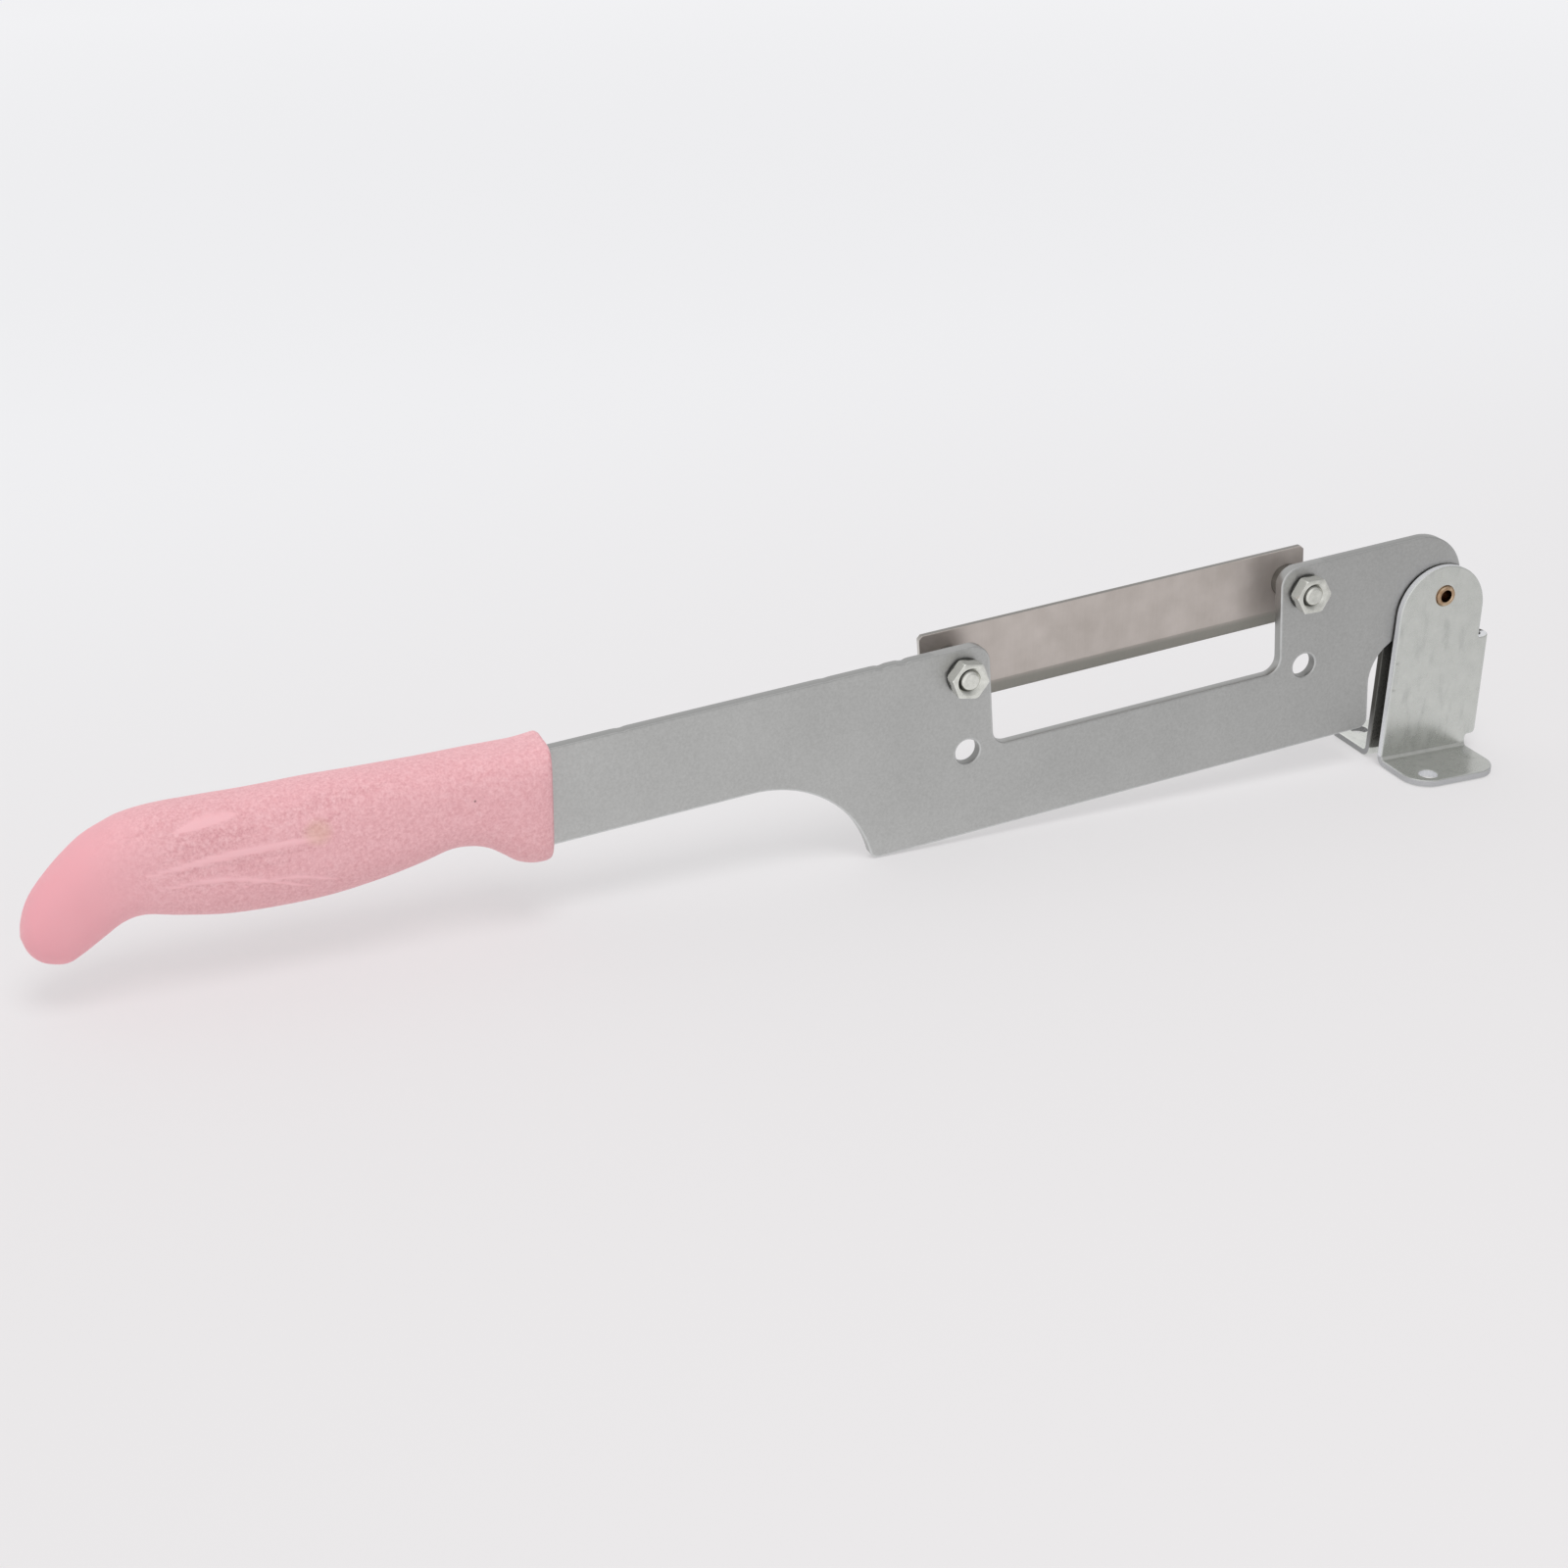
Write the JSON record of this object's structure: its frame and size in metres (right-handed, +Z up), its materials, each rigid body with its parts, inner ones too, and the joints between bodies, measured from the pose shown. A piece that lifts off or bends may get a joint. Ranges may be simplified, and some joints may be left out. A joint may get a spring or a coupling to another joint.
{
  "type": "manual frozen meat slicer knife lever",
  "caption": "Hand lever with a bolt-on straight blade over an open window, a moulded grip and a folded hinge bracket; pressed down on a board it slices frozen meat.",
  "frame": {"origin": "midway between the two screw holes in the bracket's feet, on the base plane under the feet", "axes": "+X along the arm towards its hinge end, +Y from the nut side to the blade side, +Z up"},
  "size_m": [0.3845, 0.0408, 0.064],
  "materials": {
    "plated_sheet": "zinc-plated sheet steel, mottled",
    "copper_pin": "copper-coloured tubular pin",
    "satin_plate": "satin stainless plate",
    "pink_plastic": "moulded, fine sandy grain",
    "ground_blade": "ground stainless",
    "plated_fastener": "bright zinc plate",
    "blackened_steel": "blackened washers and spacers"
  },
  "bodies": {
    "stand": {"hinge_bracket": "plated_sheet", "pivot_pin": "copper_pin"},
    "lever": {"arm_plate": "satin_plate", "handle_grip": "pink_plastic", "blade": "ground_blade", "handle_end_bolt": "plated_fastener", "pivot_end_bolt": "plated_fastener", "handle_end_nut": "plated_fastener", "pivot_end_nut": "plated_fastener", "handle_end_washer": "blackened_steel", "pivot_end_washer": "blackened_steel", "handle_end_spacer": "blackened_steel", "pivot_end_spacer": "blackened_steel"}
  },
  "joints": [
    {"name": "arm_swing", "type": "hinge", "parent": "stand", "child": "lever", "pos_m": [0.008, 0, 0.0474], "axis": [0, 1, 0], "range_deg": [0, 150]}
  ]
}
